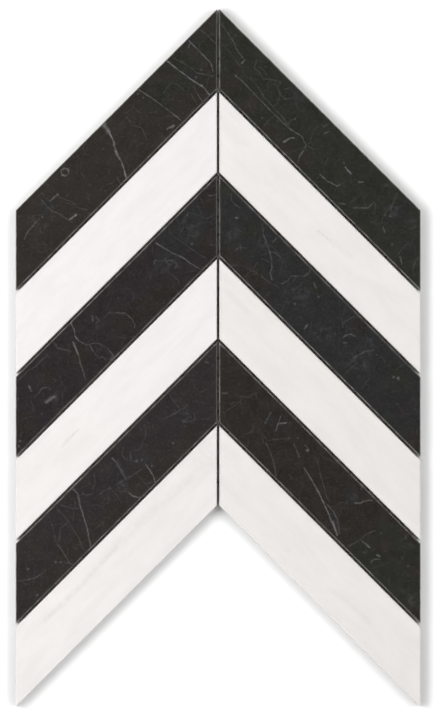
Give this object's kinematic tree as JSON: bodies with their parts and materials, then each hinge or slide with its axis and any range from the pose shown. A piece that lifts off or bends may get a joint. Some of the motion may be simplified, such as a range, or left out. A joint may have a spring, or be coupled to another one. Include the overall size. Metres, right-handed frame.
{
  "type": "chevron wall tile",
  "caption": "Net-backed chevron sheet of black and white marble-look ceramic pieces, pointed at the top and notched at the bottom, bonded to a wall among like sheets.",
  "frame": {"origin": "under the middle of the sheet, on the net's underside, which lies on the floor", "axes": "+Z out of the tiled face, +Y towards the chevron's point, +X to the right as the face is seen"},
  "size_m": [0.2294, 0.3954, 0.009],
  "materials": {
    "black_tile": "satin black marble-look glaze with thin pale veins, grey-brown body at cut edges and back",
    "white_tile": "satin white marble-look glaze with faint grey clouds, grey-brown body at cut sides and back",
    "backing_net": "coated glass-fibre net, off-white"
  },
  "bodies": {
    "root": {"black_tile_left_1": "black_tile", "white_tile_left_2": "white_tile", "black_tile_left_3": "black_tile", "white_tile_left_4": "white_tile", "black_tile_left_5": "black_tile", "white_tile_left_6": "white_tile", "backing_net_left": "backing_net", "black_tile_right_1": "black_tile", "white_tile_right_2": "white_tile", "black_tile_right_3": "black_tile", "white_tile_right_4": "white_tile", "black_tile_right_5": "black_tile", "white_tile_right_6": "white_tile", "backing_net_right": "backing_net"}
  },
  "joints": []
}
